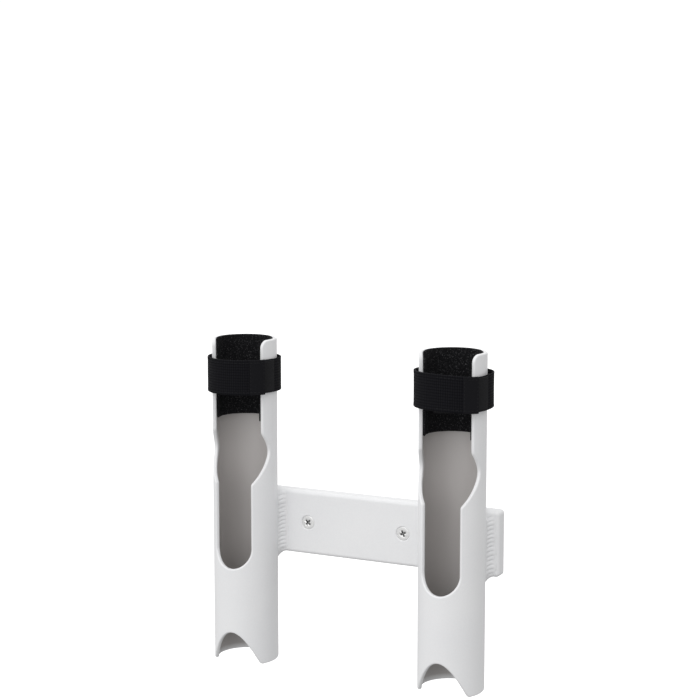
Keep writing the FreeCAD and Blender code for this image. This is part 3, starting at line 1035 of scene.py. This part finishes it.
def loop_pile():
    """Fuzzy loop tape, with painted shade between the loops."""
    g = Graph("loop_tape_black", Roughness=0.75, Specular_IOR_Level=0.25)
    _, _, uv = g.along_and_height()
    loops = g.cells(uv, 1.5)
    fuzz = g.noise(uv, 3.0, 4.0, 0.7)
    relief = g.math("SUBTRACT", fuzz, g.math("MULTIPLY", loops, 0.6))
    # Painted shade between the loops, mixed with random fuzz tone.
    g.feed("Base Color", g.colours(relief, (0.1, (0.005, 0.005, 0.006)),
                                   (0.8, (0.014, 0.014, 0.018))))
    g.bump(relief, 0.3, 0.8)
    return g.material


def brushed(name, colour_low, colour_high, rough_low, rough_high, recess=None):
    """Bare metal with fine turning marks and slight tarnish, and painted shade that darkens a recess.
    """
    g = Graph(name, Metallic=1.0)
    place = g.place()
    marks = g.noise(place, 4.0, 4.0, 0.6)
    stain = g.noise(place, 0.4, 3.0)
    colour = g.colours(stain, (0.3, colour_low), (0.7, colour_high))
    if recess:
        colour = g.shade(colour, recess)
    g.feed("Base Color", colour)
    g.feed("Roughness", g.range(marks, 0.3, 0.7, rough_low, rough_high))
    g.bump(marks, 0.03, 0.5)
    return g.material


def paint(piece, material):
    """Gives a piece its only material."""
    piece.data.materials.clear()
    piece.data.materials.append(material)


# ---- studio


def add_light(name, place, aim, size, power):
    """Soft square lamp."""
    data = bpy.data.lights.new(name, "AREA")
    data.size = size
    data.energy = power
    lamp = bpy.data.objects.new(name, data)
    lamp.location = place
    lamp.rotation_euler = (aim - Vector(place)).to_track_quat("-Z", "Y").to_euler()
    bpy.context.scene.collection.objects.link(lamp)


def make_world():
    """White surrounding, brighter above than below and slightly brighter at the left."""
    world = bpy.data.worlds.new("studio")
    bpy.context.scene.world = world
    world.use_nodes = True
    nodes, links = world.node_tree.nodes, world.node_tree.links
    soft = nodes["Background"]
    plain = nodes.new("ShaderNodeBackground")
    plain.inputs["Strength"].default_value = 1.05
    direction = nodes.new("ShaderNodeTexCoord")
    parts = nodes.new("ShaderNodeSeparateXYZ")
    links.new(direction.outputs["Generated"], parts.inputs[0])
    lean = nodes.new("ShaderNodeMath")
    lean.operation = "MULTIPLY_ADD"
    lean.inputs[1].default_value = -0.18
    links.new(parts.outputs["X"], lean.inputs[0])
    links.new(parts.outputs["Z"], lean.inputs[2])
    falloff = nodes.new("ShaderNodeMapRange")
    for socket, value in zip(list(falloff.inputs)[1:5], (-1.0, 1.0, 0.26, 1.18)):
        socket.default_value = value
    links.new(lean.outputs[0], falloff.inputs[0])
    links.new(falloff.outputs[0], soft.inputs["Strength"])
    for shader in (soft, plain):
        shader.inputs["Color"].default_value = WHITE
    seen = nodes.new("ShaderNodeLightPath")
    mix = nodes.new("ShaderNodeMixShader")
    links.new(seen.outputs["Is Camera Ray"], mix.inputs[0])
    links.new(soft.outputs[0], mix.inputs[1])
    links.new(plain.outputs[0], mix.inputs[2])
    links.new(mix.outputs[0], nodes["World Output"].inputs[0])


def make_floor(z, size=60.0):
    """Plain pale floor that gives the part no light of its own."""
    mesh = bpy.data.meshes.new("studio_floor")
    corners = [(-size, -size, z), (size, -size, z), (size, size, z), (-size, size, z)]
    mesh.from_pydata(corners, [], [(0, 1, 2, 3)])
    floor = bpy.data.objects.new("studio_floor", mesh)
    bpy.context.scene.collection.objects.link(floor)
    g = Graph("studio_floor", Roughness=0.9, Emission_Strength=0.35)
    g.shader.inputs["Emission Color"].default_value = WHITE
    g.feed("Base Color", g.colours(g.noise(g.place(), 0.01), (0.3, (0.93, 0.93, 0.93)),
                                   (0.7, (0.95, 0.95, 0.95))))
    mesh.materials.append(g.material)
    floor.visible_diffuse = False
    floor.visible_glossy = False


def make_studio(low, high):
    """White surrounding, soft lamps and a floor well under the part."""
    bpy.context.scene.view_settings.view_transform = "Standard"
    make_world()
    middle = (low + high) / 2
    add_light("key", (-0.2, -2.4, 1.0), middle, 1.7, 18.0)
    add_light("top", (0.2, -0.5, 2.2), middle, 1.8, 4.0)
    make_floor(low.z - 0.7)


def make_camera():
    """Camera in front of the holder, to its right and a little above it."""
    data = bpy.data.cameras.new("camera")
    data.lens = CAMERA.lens
    camera = bpy.data.objects.new("camera", data)
    camera.location = Vector((CAMERA.across, measure_tube("left").y - CAMERA.before,
                              measure_tube("right").top + CAMERA.above)) * MM
    camera.rotation_euler = (math.radians(90 - CAMERA.tilt), 0.0, math.radians(CAMERA.turn))
    bpy.context.scene.collection.objects.link(camera)
    bpy.context.scene.camera = camera


# ---- everything


def make_looks():
    """Every material, by its use."""
    return SimpleNamespace(
        coat=powder_coat("powder_coat_white"),
        # painted shade on the tubes' inner faces
        tube=powder_coat("powder_coat_tube", bore_shade=(0.48, 0.46, 0.45)),
        liner=felt(),
        webbing=woven("webbing_black", 1.7, 2.1, (0.002, 0.002, 0.003), (0.009, 0.009, 0.011),
                      0.3, 0.06),
        smooth=woven("tape_black", 0.7, 0.7, (0.003, 0.003, 0.004), (0.008, 0.008, 0.010), 0.06,
                     0.12),
        loops=loop_pile(),
        thread=thread(),
        # painted shade in the screw's recess
        steel=brushed("screw_steel", (0.8, 0.8, 0.8), (0.9, 0.9, 0.89), 0.4, 0.5,
                      recess=(0.3, 0.3, 0.3)),
        rivet=brushed("rivet_metal", (0.55, 0.55, 0.56), (0.7, 0.7, 0.71), 0.2, 0.35),
    )


def make_side(side, direction, looks):
    """One tube with its beads, liner, strap, screw and rivet; direction is its side along X."""
    tube = make_tube(side)
    beads = [make_bead(side, "outer", direction), make_bead(side, "inner", -direction)]
    for piece, look in ((tube, looks.tube), (beads[0], looks.coat), (beads[1], looks.coat)):
        paint(piece, look)
        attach(piece, "root")
    liner = make_liner(side)
    paint(liner, looks.liner)
    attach(liner, "root")
    for piece in make_straps(side):
        paint(piece, looks.webbing)
    patches = make_patches(side)
    for pieces, look in ((patches.smooth, looks.smooth), (patches.thread, looks.thread)):
        for piece in pieces:
            paint(piece, look)
    paint(patches.loops, looks.loops)
    screw = make_screw(side)
    paint(screw, looks.steel)
    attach(screw, "root")
    for piece in make_rivet(side):
        paint(piece, looks.rivet)
        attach(piece, "root")


def main():
    """The holder with its looks, in a studio."""
    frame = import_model()
    cad_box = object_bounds()
    looks = make_looks()
    paint(frame["nodes"]["crossbar"], looks.coat)
    for side, direction in SIDES.items():
        make_side(side, direction, looks)
    make_studio(*(Vector(corner) for corner in cad_box))
    make_camera()


main()
